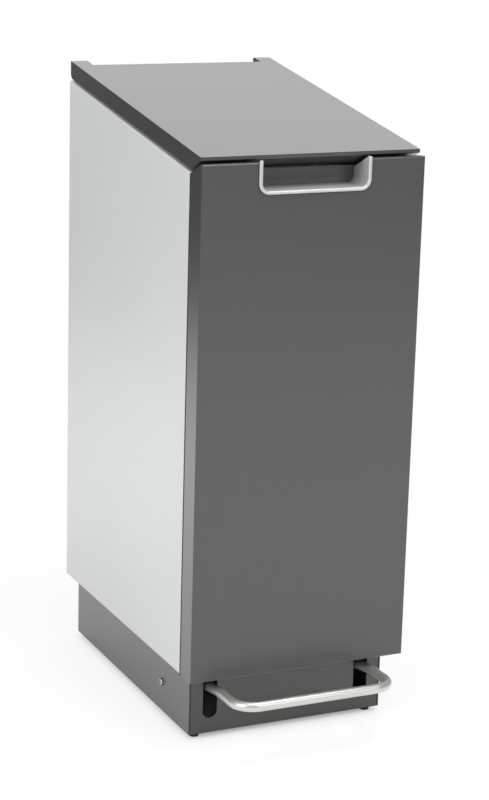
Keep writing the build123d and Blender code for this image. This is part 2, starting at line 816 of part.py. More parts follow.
foot_screw_length = foot_height - recess + plinth_sheet + foot_screw_reach
foot_screw = socket_screw(screw_shank, foot_screw_length, screw_head, screw_head_height)
with BuildPart() as foot_screws:
    put(foot_screw, *[Location((x, y, recess), (180, 0, 0)) for x, y in foot_places])
foot_screws.part.label = "foot_screws"
export_step(foot_screws.part, "parts/foot_screws.step")

with BuildPart() as plinth_screws:
    put(socket_screw(screw_shank, screw_length, screw_head, screw_head_height),
        *[Location(place) for place in plinth_bolts])
plinth_screws.part.label = "plinth_screws"
export_step(plinth_screws.part, "parts/plinth_screws.step")

with BuildPart() as rear_screws:
    put(socket_screw(screw_shank, screw_length, screw_head, screw_head_height),
        *[Location(place, (-90, 0, 0)) for place in rear_bolts])
rear_screws.part.label = "rear_screws"
export_step(rear_screws.part, "parts/rear_screws.step")

with BuildPart() as deck_screws:
    put(socket_screw(small_shank, small_length, small_head, small_head_height),
        *[on_roof(x, y, sheet) for x, y in deck_bolts])
    put(socket_screw(small_shank, small_length + base_sheet, small_head, small_head_height),
        *[on_roof(x, y, sheet + base_sheet) for x, y in hinge_bolts])
deck_screws.part.label = "deck_screws"
export_step(deck_screws.part, "parts/deck_screws.step")

# Pedal: bent round bar, lever plates, cross tube, rear arm and bushes
arm_tan = math.tan(math.radians(arm_fall))
knee_y = door_y + knee_back
knee_z = cabinet_z - knee_drop
arm_end_y = pivot_y - tube_diameter / 2 - arm_end_gap
arm_end_z = knee_z - (arm_end_y - knee_y) * arm_tan
bar_y = door_y - bar_reach
bar_z = cabinet_z - bar_drop
with BuildPart() as pedal_bar:
    with BuildLine() as bar_path:
        FilletPolyline(
            (-slot_x, arm_end_y, arm_end_z),
            (-slot_x, knee_y, knee_z),
            (-slot_x, bar_y, bar_z),
            (slot_x, bar_y, bar_z),
            (slot_x, knee_y, knee_z),
            (slot_x, arm_end_y, arm_end_z),
            radius=[knee_bend, bar_bend, bar_bend, knee_bend],
        )
    with BuildSketch(Plane(origin=bar_path.line @ 0, z_dir=bar_path.line % 0)):
        Circle(pedal_rod / 2)
    sweep()
pedal_bar.part.label = "pedal_bar"
export_step(pedal_bar.part, "parts/pedal_bar.step")

lever_y = arm_end_y - lever_overlap
lever_z = knee_z - (lever_y - knee_y) * arm_tan
for side, name in sides:
    x_far = side * (slot_x - pedal_rod / 2 - running)
    with BuildPart() as pedal_lever:
        hull(
            [
                (pivot_y, pivot_z, tube_diameter / 2 + lever_hub_wall),
                (lever_y, lever_z, pedal_rod / 2 + lever_tip_wall),
            ],
            [],
            x_far,
            x_far - side * lever_sheet,
        )
        disc(x_far + side, x_far - side * 2 * lever_sheet, pivot_y, pivot_z,
             tube_diameter / 2 + running, Mode.SUBTRACT)
    pedal_lever.part.label = f"pedal_lever_{name}"
    export_step(pedal_lever.part, f"parts/pedal_lever_{name}.step")

tube_half = plinth_inner - nut_height - play - bush_flange
with BuildPart() as cross_tube:
    disc(-tube_half, tube_half, pivot_y, pivot_z, tube_diameter / 2)
    disc(-tube_half, tube_half, pivot_y, pivot_z, tube_diameter / 2 - tube_wall, Mode.SUBTRACT)
cross_tube.part.label = "cross_tube"
export_step(cross_tube.part, "parts/cross_tube.step")

with BuildPart() as pedal_bushes:
    for side, name in sides:
        disc(side * tube_half, side * (tube_half - bush_length), pivot_y, pivot_z,
             tube_diameter / 2 - tube_wall - running)
        disc(side * tube_half, side * (tube_half + bush_flange), pivot_y, pivot_z,
             tube_diameter / 2)
        disc(side * (tube_half - bush_length - over), side * half, pivot_y, pivot_z,
             pivot_pin / 2 + running, Mode.SUBTRACT)
pedal_bushes.part.label = "pedal_bushes"
export_step(pedal_bushes.part, "parts/pedal_bushes.step")

pivot_length = plinth_half - tube_half + bush_length - 2 * over
with BuildPart() as pivot_screws:
    put(socket_screw(pivot_pin / 2, pivot_length, pivot_head, pivot_head_height),
        *[Location((side * plinth_half, pivot_y, pivot_z), (0, side * 90, 0))
          for side, name in sides])
pivot_screws.part.label = "pivot_screws"
export_step(pivot_screws.part, "parts/pivot_screws.step")

with BuildPart() as pivot_nuts:
    for side, name in sides:
        x_start = plinth_inner if side > 0 else -plinth_inner + nut_height
        with BuildSketch(Plane.YZ.offset(x_start - nut_height)) as outline:
            with Locations((pivot_y, pivot_z)):
                RegularPolygon(nut_radius, 6)
                Circle(pivot_pin / 2 + running, mode=Mode.SUBTRACT)
        extrude(outline.sketch, amount=nut_height)
pivot_nuts.part.label = "pivot_nuts"
export_step(pivot_nuts.part, "parts/pivot_nuts.step")

# Rear arm: flat bar welded to the cross tube, with a slot for the push rod's lower pin
hub_round = tube_diameter / 2 + rear_hub_wall
slot_end = clevis_pin / 2 + lever_slot_play
arm_round = slot_end + rear_tip_wall
slot_run = rod_sway + lever_slot_front + lever_slot_rear


def arm_point(distance):
    """A point of the rear arm's centre line, at a distance from the pivot."""
    return (pivot_y + distance * math.cos(dip), pivot_z - distance * math.sin(dip))


end_y, end_z = arm_point(arm_length + lever_slot_rear)
with BuildPart() as rear_arm:
    hull(
        [(pivot_y, pivot_z, hub_round), (end_y, end_z, arm_round)],
        [],
        -rear_arm_sheet / 2,
        rear_arm_sheet / 2,
    )
    disc(-rear_arm_sheet, rear_arm_sheet, pivot_y, pivot_z, tube_diameter / 2 + running,
         Mode.SUBTRACT)
    inner_y, inner_z = arm_point(arm_length + lever_slot_rear - slot_run)
    hull(
        [(end_y, end_z, slot_end), (inner_y, inner_z, slot_end)],
        [],
        -rear_arm_sheet,
        rear_arm_sheet,
        Mode.SUBTRACT,
    )
rear_arm.part.label = "rear_arm"
export_step(rear_arm.part, "parts/rear_arm.step")

# Rubber stop under the floor panel, which the raised arm meets
stop_half = stop_width / 2
stop_y = pivot_y + stop_reach * math.cos(lift)
arm_half = hub_round + (arm_round - hub_round) * (stop_reach + stop_half) / arm_length
stop_z = (pivot_z + (stop_reach + stop_half) * math.sin(lift) + arm_half / math.cos(lift)
          + stop_gap)
with BuildPart() as pedal_stop:
    box(-stop_half, stop_half, stop_y - stop_half, stop_y + stop_half, stop_z, floor_z)
    fillet(pedal_stop.edges().filter_by(Axis.Z), 0.6 * stop_half)
    fillet(pedal_stop.edges().group_by(Axis.Z)[0], 0.2 * stop_half)
pedal_stop.part.label = "pedal_stop"
export_step(pedal_stop.part, "parts/pedal_stop.step")

# Runner rails that carry the runners inside the side panels
rail_z0 = runner_z - rail_margin
rail_z1 = runner_z + runner_height + rail_margin
for side, name in sides:
    with BuildPart() as runner_rail:
        channel(side * runner_outer_x, side * inner_half, side_y + 2 * sheet, shield_y,
                rail_z0, rail_z1)
    runner_rail.part.label = f"runner_rail_{name}"
    export_step(runner_rail.part, f"parts/runner_rail_{name}.step")

# Telescopic runners: three nested C sections on each side
step = sheet + play
runner_z1 = runner_z + runner_height
for side, name in sides:
    with BuildPart() as runner_outer:
        channel(side * runner_outer_x, side * (tray_half + runner_lap), runner_y0, runner_y1,
                runner_z, runner_z1)
    runner_outer.part.label = f"runner_outer_{name}"
    export_step(runner_outer.part, f"parts/runner_outer_{name}.step")

    with BuildPart() as runner_middle:
        channel(side * (runner_outer_x - step), side * (tray_half + runner_lap), runner_y0,
                runner_y1, runner_z + step, runner_z1 - step)
    runner_middle.part.label = f"runner_middle_{name}"
    export_step(runner_middle.part, f"parts/runner_middle_{name}.step")

    with BuildPart() as runner_inner:
        channel(side * tray_half, side * (runner_outer_x - 2 * step), runner_y0, runner_y1,
                runner_z + 2 * step, runner_z1 - 2 * step)
    runner_inner.part.label = f"runner_inner_{name}"
    export_step(runner_inner.part, f"parts/runner_inner_{name}.step")

# Front panel: folded tray, open at the back, its returns cut parallel to the lid's flange
door_top = cabinet_z + door_height
grip_bottom = door_top - grip_drop
grip_top = door_top + grip_rise
band_width = grip_width - 2 * (grip_bead - grip_wall)
band_bottom = grip_bottom + grip_bead - grip_wall
band_corner = grip_corner - grip_bead + grip_wall
past = drawer_y0 + over


def above_lip(gap):
    """A YZ outline of all that lies less than gap below the lid's front flange."""
    return (
        (door_y, lip_line(door_y) - gap),
        (past, lip_line(past) - gap),
        (past, lid_z(lid_y0, 0)),
        (door_y, lid_z(lid_y0, 0)),
    )


with BuildPart() as front_panel:
    box(-half, half, door_y, drawer_y0, cabinet_z, door_top)
    front_face = front_panel.faces().sort_by(Axis.Y)[0]
    fillet(front_face.edges(), fold_radius)
    box(-inner_half, inner_half, door_y + sheet, past, floor_z, door_top - sheet, Mode.SUBTRACT)
    box(-inner_half, inner_half, door_y + top_return, past, door_top - 2 * sheet,
        door_top + over, Mode.SUBTRACT)
    for side, name in sides:
        side_profile(above_lip(return_gap), side * inner_half, side * (half + over),
                     Mode.SUBTRACT)
    u_block(band_width + 2 * fit, band_bottom - fit, door_top + over, band_corner + fit,
            door_y - over, past, Mode.SUBTRACT)
front_panel.part.label = "front_panel"
export_step(front_panel.part, "parts/front_panel.step")

# Inner panel that closes the tray and carries the drawer
inner_top = lip_line(drawer_y0) - return_gap - over
with BuildPart() as front_inner_panel:
    box(-inner_half + play, inner_half - play, drawer_y0 - sheet, drawer_y0, floor_z, inner_top)
    u_block(band_width + 2 * fit, band_bottom - fit, door_top, band_corner + fit,
            drawer_y0 - 2 * sheet, past, Mode.SUBTRACT)
    with Locations(*[Location(place, (90, 0, 0)) for place in tray_bolts]):
        Cylinder(screw_shank + screw_play, 8 * sheet, mode=Mode.SUBTRACT)
front_inner_panel.part.label = "front_inner_panel"
export_step(front_inner_panel.part, "parts/front_inner_panel.step")

# Grip: a band let into the front panel's top edge, with a rounded bead on its face
with BuildPart() as grip:
    u_block(grip_width, grip_bottom, grip_top, grip_corner, door_y - bead_proud, door_y)
    u_block(grip_width - 2 * grip_bead, grip_bottom + grip_bead, grip_top + over,
            grip_corner - grip_bead, door_y - bead_proud - over, door_y + over, Mode.SUBTRACT)
    bead_face = grip.faces().sort_by(Axis.Y)[0]
    fillet(bead_face.edges(), bead_rounding)
    grip_y1 = door_y + grip_depth
    u_block(band_width, band_bottom, grip_top, band_corner, door_y, grip_y1)
    u_block(band_width - 2 * grip_wall, band_bottom + grip_wall, grip_top + over,
            band_corner - grip_wall, door_y - bead_proud - over, grip_y1 + over, Mode.SUBTRACT)
    side_profile(
        (
            (door_y, lip_line(door_y) - grip_wall_gap),
            (grip_y1 + over, lip_line(grip_y1 + over) - grip_wall_gap),
            (grip_y1 + over, lid_z(lid_y0, 0)),
            (door_y, lid_z(lid_y0, 0)),
        ),
        -half,
        half,
        Mode.SUBTRACT,
    )
grip.part.label = "grip"
export_step(grip.part, "parts/grip.step")

with BuildPart() as grip_back:
    u_block(band_width, band_bottom, lip_line(grip_y1 + sheet) - grip_back_gap, band_corner,
            grip_y1, grip_y1 + sheet)
grip_back.part.label = "grip_back"
export_step(grip_back.part, "parts/grip_back.step")

# Drawer tray, screwed to the inner panel
with BuildPart() as drawer_tray:
    box(-tray_half, tray_half, drawer_y0, drawer_y1, tray_z, tray_z + tray_height)
    fillet(drawer_tray.edges().filter_by(Axis.Z), fold_radius)
    box(-tray_half + sheet, tray_half - sheet, drawer_y0 + sheet, drawer_y1 - sheet,
        tray_z + sheet, tray_z + tray_height + over, Mode.SUBTRACT)
    with Locations(*[Location(place, (90, 0, 0)) for place in tray_bolts]):
        Cylinder(screw_shank + screw_play, 8 * sheet, mode=Mode.SUBTRACT)
drawer_tray.part.label = "drawer_tray"
export_step(drawer_tray.part, "parts/drawer_tray.step")

with BuildPart() as tray_screws:
    put(socket_screw(screw_shank, screw_length, screw_head, screw_head_height),
        *[Location(place, (-90, 0, 0)) for place in tray_bolts])
tray_screws.part.label = "tray_screws"
export_step(tray_screws.part, "parts/tray_screws.step")

# Magnetic catches on the deck's apron, and their strike plates on the inner panel
catch_z0 = roof_z(deck_y0) - deck_apron + over
catch_z1 = catch_z0 + catch_height
strike_half = catch_width / 2 - strike_margin
with BuildPart() as strike_plates:
    for x in (-catch_spacing / 2, catch_spacing / 2):
        box(x - strike_half, x + strike_half, drawer_y0, drawer_y0 + strike_sheet,
            catch_z0 + strike_margin / 2, catch_z1 - strike_margin / 2)
strike_plates.part.label = "strike_plates"
export_step(strike_plates.part, "parts/strike_plates.step")

with BuildPart() as magnetic_catches:
    for x in (-catch_spacing / 2, catch_spacing / 2):
        box(x - catch_width / 2, x + catch_width / 2, drawer_y0 + strike_sheet + play, deck_y0,
            catch_z0, catch_z1)
    fillet(magnetic_catches.edges().filter_by(Axis.Y), catch_rounding)
magnetic_catches.part.label = "magnetic_catches"
export_step(magnetic_catches.part, "parts/magnetic_catches.step")

# Liner bucket, tapered, with a rolled rim
liner_x = tray_half - sheet - liner_clearance
liner_mid = (drawer_y0 + drawer_y1) / 2
liner_y = (drawer_y1 - drawer_y0) / 2 - sheet - liner_clearance
liner_top = liner_z + liner_height


def liner_form(shrink, z0, z1):
    """A tapered block of the liner's outline, smaller by shrink all round."""
    with BuildSketch(Plane.XY.offset(z0)) as low:
        with Locations((0, liner_mid)):
            RectangleRounded(2 * (liner_x - liner_taper - shrink),
                             2 * (liner_y - liner_taper - shrink), liner_corner - shrink)
    with BuildSketch(Plane.XY.offset(z1)) as high:
        with Locations((0, liner_mid)):
            RectangleRounded(2 * (liner_x - shrink), 2 * (liner_y - shrink),
                             liner_corner - shrink)
    return low.sketch, high.sketch


with BuildPart() as liner:
    loft(liner_form(0, liner_z, liner_top))
    with BuildSketch(Plane.XY.offset(liner_top - 2 * liner_rim)) as rim:
        with Locations((0, liner_mid)):
            RectangleRounded(2 * (liner_x + liner_rim), 2 * (liner_y + liner_rim),
                             liner_corner + liner_rim)
    extrude(rim.sketch, amount=2 * liner_rim)
    rim_edges = liner.edges().filter_by(Plane.XY).group_by(Axis.Z)[-1]
    fillet(rim_edges, liner_rim * 0.6)
    loft(liner_form(liner_wall, liner_z + liner_wall, liner_top), mode=Mode.SUBTRACT)
liner.part.label = "liner"
export_step(liner.part, "parts/liner.step")
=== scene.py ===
import json
import math

import bmesh
import bpy
from mathutils import Matrix, Vector


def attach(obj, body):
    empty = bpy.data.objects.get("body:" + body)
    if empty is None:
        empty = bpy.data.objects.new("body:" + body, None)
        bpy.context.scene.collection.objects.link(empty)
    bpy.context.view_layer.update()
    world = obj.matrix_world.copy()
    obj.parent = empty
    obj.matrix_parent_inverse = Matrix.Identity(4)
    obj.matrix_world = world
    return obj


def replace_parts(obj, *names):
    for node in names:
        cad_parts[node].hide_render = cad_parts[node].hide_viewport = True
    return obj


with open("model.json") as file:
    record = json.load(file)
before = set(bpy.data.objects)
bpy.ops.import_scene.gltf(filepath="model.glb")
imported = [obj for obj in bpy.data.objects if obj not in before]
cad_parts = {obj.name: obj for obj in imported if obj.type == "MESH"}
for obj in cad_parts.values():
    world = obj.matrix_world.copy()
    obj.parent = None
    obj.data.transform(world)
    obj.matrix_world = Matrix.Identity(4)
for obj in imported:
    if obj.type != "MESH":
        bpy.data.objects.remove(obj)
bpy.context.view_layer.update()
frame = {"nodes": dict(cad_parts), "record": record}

MM = 0.001
WHITE = (1.0, 1.0, 1.0, 1.0)

# Places of a Mix node's sockets, whose names are the same for numbers and for colours
FACTOR = 0
NUMBER_A, NUMBER_B, NUMBER_RESULT = 2, 3, 0
COLOUR_A, COLOUR_B, COLOUR_RESULT = 6, 7, 2


def mm(*values):
    """A place or size in metres, from millimetres."""
    return Vector([value * MM for value in values])


# Materials


def linear(code):
    """Linear RGBA of an sRGB hex value such as "8a8d8c"."""
    parts = [int(code[i:i + 2], 16) / 255 for i in (0, 2, 4)]
    return [c / 12.92 if c <= 0.04045 else ((c + 0.055) / 1.055) ** 2.4 for c in parts] + [1.0]


def tone(code, factor):
    """The linear colour of a hex value, made lighter or darker by factor."""
    return [min(1.0, c * factor) for c in linear(code)[:3]] + [1.0]


def connect(tree, node, links):
    """Links a node's inputs to other nodes' sockets."""
    for name, socket in links.items():
        tree.links.new(socket, node.inputs[name])


def set_inputs(node, values):
    """Sets a node's inputs to fixed values."""
    for name, value in values.items():
        node.inputs[name].default_value = value


def add_node(tree, kind, settings=None, links=None):
    """Adds a node, sets its fields and inputs, and links inputs to other nodes' sockets."""
    made = tree.nodes.new(kind)
    for name, value in (settings or {}).items():
        if isinstance(name, str) and hasattr(made, name):
            setattr(made, name, value)
        else:
            set_inputs(made, {name: value})
    connect(tree, made, links or {})
    return made


def new_material(name):
    """A new material, its tree, its shader and its Object coordinates."""
    material = bpy.data.materials.new(name)
    material.use_nodes = True
    tree = material.node_tree
    shader = tree.nodes["Principled BSDF"]
    coords = add_node(tree, "ShaderNodeTexCoord").outputs["Object"]
    return material, tree, shader, coords


def powder_coat(name, code, roughness, gloss, coat):
    """Polyester powder coat, sprayed and baked: a satin skin with a faint orange peel, which the
    eye sees as slightly broken highlights, and a tone that drifts a little over a large sheet.
    Real orange peel is finer; it is drawn coarse enough to show."""
    drift_size = 220 * MM
    peel_size = 2.6 * MM
    peel_height = 0.10 * MM
    material, tree, shader, coords = new_material(name)
    drift = add_node(tree, "ShaderNodeTexNoise", {"Scale": 1 / drift_size, "Detail": 2.0},
                     {"Vector": coords})
    shade = add_node(tree, "ShaderNodeMix",
                     {"data_type": "RGBA", COLOUR_A: tone(code, 0.97), COLOUR_B: tone(code, 1.03)},
                     {FACTOR: drift.outputs["Fac"]})
    peel = add_node(tree, "ShaderNodeTexNoise", {"Scale": 1 / peel_size, "Detail": 1.5},
                    {"Vector": coords})
    polish = add_node(tree, "ShaderNodeMapRange",
                      {"To Min": roughness - 0.03, "To Max": roughness + 0.04},
                      {"Value": peel.outputs["Fac"]})
    bump = add_node(tree, "ShaderNodeBump", {"Strength": 0.10, "Distance": peel_height},
                    {"Height": peel.outputs["Fac"]})
    connect(tree, shader, {"Base Color": shade.outputs[COLOUR_RESULT],
                           "Roughness": polish.outputs["Result"],
                           "Normal": bump.outputs["Normal"]})
    set_inputs(shader, {"Specular IOR Level": gloss, "Coat Weight": coat,
                        "Coat Roughness": roughness})
    return material


def galvanised_sheet():
    """Hot dip galvanised steel: zinc crystals a few millimetres to a centimetre across, each
    facet a little lighter or duller than the next."""
    crystal_size = 9 * MM
    material, tree, shader, coords = new_material("galvanised_sheet")
    spangle = add_node(tree, "ShaderNodeTexVoronoi", {"Scale": 1 / crystal_size},
                       {"Vector": coords})
    shade = add_node(tree, "ShaderNodeMix",
                     {"data_type": "RGBA", COLOUR_A: linear("9ba1a4"), COLOUR_B: linear("b6bbbd")},
                     {FACTOR: spangle.outputs["Color"]})
    polish = add_node(tree, "ShaderNodeMapRange", {"To Min": 0.34, "To Max": 0.48},
                      {"Value": spangle.outputs["Color"]})
    connect(tree, shader, {"Base Color": shade.outputs[COLOUR_RESULT],
                           "Roughness": polish.outputs["Result"]})
    set_inputs(shader, {"Metallic": 1.0})
    return material


def zinc_plate():
    """Bright zinc plated steel: a cool grey metal with a cloudy, faintly mottled shine."""
    cloud_size = 14 * MM
    material, tree, shader, coords = new_material("zinc_plated_steel")
    cloud = add_node(tree, "ShaderNodeTexNoise", {"Scale": 1 / cloud_size, "Detail": 4.0},
                     {"Vector": coords})
    shade = add_node(tree, "ShaderNodeMix",
                     {"data_type": "RGBA", COLOUR_A: linear("a3a6a5"), COLOUR_B: linear("bdbfbd")},
                     {FACTOR: cloud.outputs["Fac"]})
    polish = add_node(tree, "ShaderNodeMapRange", {"To Min": 0.24, "To Max": 0.38},
                      {"Value": cloud.outputs["Fac"]})
    connect(tree, shader, {"Base Color": shade.outputs[COLOUR_RESULT],
                           "Roughness": polish.outputs["Result"]})
    set_inputs(shader, {"Metallic": 1.0})
    return material


def polished_stainless():
    """Stainless bar, polished and then dulled by shoes: a bright, slightly warm metal with
    scuffs drawn out along its cross bar. It is a little less than fully metallic, because its
    worn skin scatters some light."""
    scuff_size = 1.6 * MM
    scuff_depth = 0.03 * MM
    material, tree, shader, coords = new_material("polished_stainless_steel")
    stretch = add_node(tree, "ShaderNodeMapping", {"Scale": (0.12, 1.0, 1.0)}, {"Vector": coords})
    scuff = add_node(tree, "ShaderNodeTexNoise", {"Scale": 1 / scuff_size, "Detail": 3.0},
                     {"Vector": stretch.outputs["Vector"]})
    polish = add_node(tree, "ShaderNodeMapRange", {"To Min": 0.30, "To Max": 0.40},
                      {"Value": scuff.outputs["Fac"]})
    bump = add_node(tree, "ShaderNodeBump", {"Strength": 0.04, "Distance": scuff_depth},
                    {"Height": scuff.outputs["Fac"]})
    connect(tree, shader, {"Roughness": polish.outputs["Result"],
                           "Normal": bump.outputs["Normal"]})
    set_inputs(shader, {"Base Color": linear("c9c8c5"), "Metallic": 0.8})
    return material


def satin_aluminium():
    """Cast aluminium, shot blasted and satin anodised: pale and soft sheened, because the blasted
    skin scatters light almost as a matt paint does, with very fine grain. It is about half
    metallic for that reason."""
    grain_size = 1.2 * MM
    material, tree, shader, coords = new_material("satin_aluminium")
    grain = add_node(tree, "ShaderNodeTexNoise", {"Scale": 1 / grain_size, "Detail": 2.0},
                     {"Vector": coords})
    polish = add_node(tree, "ShaderNodeMapRange", {"To Min": 0.40, "To Max": 0.50},
                      {"Value": grain.outputs["Fac"]})
    connect(tree, shader, {"Roughness": polish.outputs["Result"]})
    set_inputs(shader, {"Base Color": linear("bfbfbd"), "Metallic": 0.55})
    return material


def black_rubber():
    """Moulded rubber: nearly black, dull, with a dusty bloom."""
    bloom_size = 5 * MM
    material, tree, shader, coords = new_material("black_rubber")
    bloom = add_node(tree, "ShaderNodeTexNoise", {"Scale": 1 / bloom_size, "Detail": 4.0},
                     {"Vector": coords})
    shade = add_node(tree, "ShaderNodeMix",
                     {"data_type": "RGBA", COLOUR_A: linear("1b1b1c"), COLOUR_B: linear("2c2c2d")},
                     {FACTOR: bloom.outputs["Fac"]})
    connect(tree, shader, {"Base Color": shade.outputs[COLOUR_RESULT]})
    set_inputs(shader, {"Roughness": 0.78})
    return material


def black_nylon():
    """Moulded nylon: black with a fine spark-eroded texture that breaks up its low gloss."""
    grit_size = 0.9 * MM
    grit_height = 0.08 * MM
    material, tree, shader, coords = new_material("black_nylon")
    grit = add_node(tree, "ShaderNodeTexNoise", {"Scale": 1 / grit_size, "Detail": 2.0},
                    {"Vector": coords})
    bump = add_node(tree, "ShaderNodeBump", {"Strength": 0.25, "Distance": grit_height},
                    {"Height": grit.outputs["Fac"]})
    connect(tree, shader, {"Normal": bump.outputs["Normal"]})
    set_inputs(shader, {"Base Color": linear("232324"), "Roughness": 0.52})
    return material


materials = {
    "light_paint": powder_coat("silver_grey_powder_coat", "bcbebf", 0.38, 0.4, 0.3),
    "dark_paint": powder_coat("graphite_powder_coat", "363736", 0.30, 0.3, 1.0),
    "galvanised_sheet": galvanised_sheet(),
    "runner_steel": zinc_plate(),
    "stainless_bar": polished_stainless(),
    "cast_grip": satin_aluminium(),
    "rubber_parts": black_rubber(),
    "plastic_parts": black_nylon(),
}
materials["plated_steel"] = materials["runner_steel"]
materials["fasteners"] = materials["runner_steel"]

slot_of = {part["node"]: part["material_slot"] for part in frame["record"]["subparts"]}
for name, piece in frame["nodes"].items():
    piece.data.materials.clear()
    piece.data.materials.append(materials[slot_of[name]])
# The plinth's paint was matched on its own, and came out darker than the lid's and the front's. It
# is the same paint, made darker as painted shade for the shadow under the front
plinth_painted_shade_paint = powder_coat("graphite_powder_coat_plinth_painted_shade", "2e2f2e", 0.30, 0.3, 1.0)
for name in ("plinth_shell", "plinth_front"):
    frame["nodes"][name].data.materials[0] = plinth_painted_shade_paint


# Tools for the pieces modelled here


def draw_out(work, geom, step):
    """Draws geometry straight along step, and returns its last copy."""
    return bmesh.ops.spin(work, geom=geom, cent=(0, 0, 0), axis=(0, 0, 1), dvec=step,
                          angle=0.0, steps=1)["geom_last"]


def carry(work, geom, points, bends, steps):
    """Draws geometry along a path of straight runs and round bends, and returns its last copy.
    Each bend is drawn in the given number of steps."""
    points = [Vector(point) for point in points]
    place = points[0]
    for corner, after, bend in zip(points[1:], points[2:] + [None], list(bends) + [0.0]):
        heading = (corner - place).normalized()
        if after is None:
            return draw_out(work, geom, corner - place)
        turned = (after - corner).normalized()
        angle = heading.angle(turned)
        setback = bend * math.tan(angle / 2)
        stop = corner - heading * setback
        geom = draw_out(work, geom, stop - place)
        axis = heading.cross(turned).normalized()
        centre = stop + axis.cross(heading) * bend
        geom = bmesh.ops.spin(work, geom=geom, cent=centre, axis=axis, dvec=(0, 0, 0),
                              angle=angle, steps=steps)["geom_last"]
        place = corner + turned * setback


def dome(work, geom, heading, depth):
    """Closes a ring of geometry with a rounded end that stands out by depth along heading."""
    rings = 6
    for ring in range(1, rings + 1):
        low, high = (math.pi / 2 * k / (rings + 0.5) for k in (ring - 1, ring))
        geom = draw_out(work, geom, heading * depth * (math.sin(high) - math.sin(low)))
        size = math.cos(high) / math.cos(low)
        verts = [item for item in geom if isinstance(item, bmesh.types.BMVert)]
        middle = sum((vert.co for vert in verts), Vector()) / len(verts)
        bmesh.ops.scale(work, vec=(size, size, size), verts=verts,
                        space=Matrix.Translation(-middle))
    bmesh.ops.contextual_create(work, geom=[item for item in geom
                                            if isinstance(item, bmesh.types.BMEdge)])


def draw_ring(work, segments, radius, matrix):
    """A ring without a cap, as its vertices and edges."""
    verts = bmesh.ops.create_circle(work, cap_ends=False, segments=segments, radius=radius,
                                    matrix=matrix)["verts"]
    return verts + list({edge for vert in verts for edge in vert.link_edges})


def rod(work, points, bends, width, depth, across, steps, segments, closed=False, end=0.0):
    """A bar of oval section along a path, its depth measured along the direction across at the
    start. Its ends are domed by end, or joined where the path is closed."""
    seam_gap = 0.002 * MM
    heading = (Vector(points[1]) - Vector(points[0])).normalized()
    across = Vector(across).normalized()
    turn = Matrix((across.cross(heading), across, heading)).transposed().to_4x4()
    section = Matrix.Diagonal((width, depth, 1.0, 1.0))
    ring = draw_ring(work, segments, 0.5, Matrix.Translation(points[0]) @ turn @ section)
    last = carry(work, ring, points, bends, steps)
    if closed:
        bmesh.ops.remove_doubles(work, verts=work.verts[:], dist=seam_gap)
    else:
        final = (Vector(points[-1]) - Vector(points[-2])).normalized()
        dome(work, last, final, end)
        dome(work, ring, -heading, end)


def round_edges(work, edges, radius):
    """Rounds edges off."""
    bmesh.ops.bevel(work, geom=edges, offset=radius, offset_type="OFFSET", segments=3,
                    profile=0.5, affect="EDGES", material=-1)


def finish_piece(name, work, body, slot):
    """Turns a bmesh into a smooth shaded piece that rides on a body and takes a slot's finish."""
    bmesh.ops.recalc_face_normals(work, faces=work.faces[:])
    for face in work.faces:
        face.smooth = True
    mesh = bpy.data.meshes.new(name)
    work.to_mesh(mesh)
    work.free()
    mesh.materials.append(materials[slot])
    piece = bpy.data.objects.new(name, mesh)
    bpy.context.scene.collection.objects.link(piece)
    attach(piece, body)
    return piece


# Pieces modelled here, in millimetres, at the places that the CAD gives them

# Pedal: one round bar bent to a U, with a knee in each arm and slightly rounded ends
slot_x = 118.5
bar_width = 14
knee_bend = 120
corner_bend = 30
arm_end = (-95.0, 63.2)
knee = (-204.8, 80.2)
tread = (-278.8, 82.4)
bar_path = ([mm(-slot_x, *spot) for spot in (arm_end, knee, tread)]
            + [mm(slot_x, *spot) for spot in (tread, knee, arm_end)])
work = bmesh.new()
rod(work, bar_path, [knee_bend * MM, corner_bend * MM, corner_bend * MM, knee_bend * MM],
    bar_width * MM, bar_width * MM, (1, 0, 0), steps=20, segments=40, end=0.5 * MM)
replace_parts(finish_piece("bent_pedal_bar", work, "pedal", "stainless_bar"), "pedal_bar")

# Grip: a cast band let into the front, with a rounded bead on the face of the panel and a thin
# rubber strip at the bead's outer edge, a black line that is painted shadow for the bead's contact
# shadow
door_y = -212.8
grip_low = 775.0
grip_high = 821.0
grip_half = 166.6 / 2
grip_corner = 15.5
grip_steps = 14
bead = 5.4
bead_depth = 5.6
bead_end = 1.6
# The black strip round the bead is painted shadow: it draws the bead's contact shadow
painted_shadow_width = 2.0
painted_shadow_depth = 1.2
painted_shadow_end = 0.6
painted_shadow_top_gap = 2.6
band_depth = 41.0
band_wall = 2
band_rounding = 0.45
band_uncut = 830.0
# The lid's front flange slopes back and down over the band, which is cut clear of it
clear_of_lid = 821.35
flange_slope = 0.4787
sharp_radians = 1.0


def u_path(half_width, y, bottom, top):
    """A U in the plane of the front panel, open at the top, in millimetres."""
    return [mm(-half_width, y, top), mm(-half_width, y, bottom),
            mm(half_width, y, bottom), mm(half_width, y, top)]


work = bmesh.new()
rod(work, u_path(grip_half - bead / 2, door_y - 0.2, grip_low + bead / 2, grip_high - bead_end),
    [(grip_corner - bead / 2) * MM] * 2, bead * MM, bead_depth * MM, (0, 1, 0),
    steps=grip_steps, segments=28, end=bead_end * MM)

# Painted shadow: a black rubber strip along the bead's outer edge, for its contact shadow
painted_shadow = bmesh.new()
rod(painted_shadow, u_path(grip_half, door_y, grip_low, grip_high - painted_shadow_top_gap),
    [grip_corner * MM] * 2, painted_shadow_width * MM, painted_shadow_depth * MM, (0, 1, 0),
    steps=grip_steps, segments=16, end=painted_shadow_end * MM)
finish_piece("grip_painted_shadow", painted_shadow, "drawer", "rubber_parts")

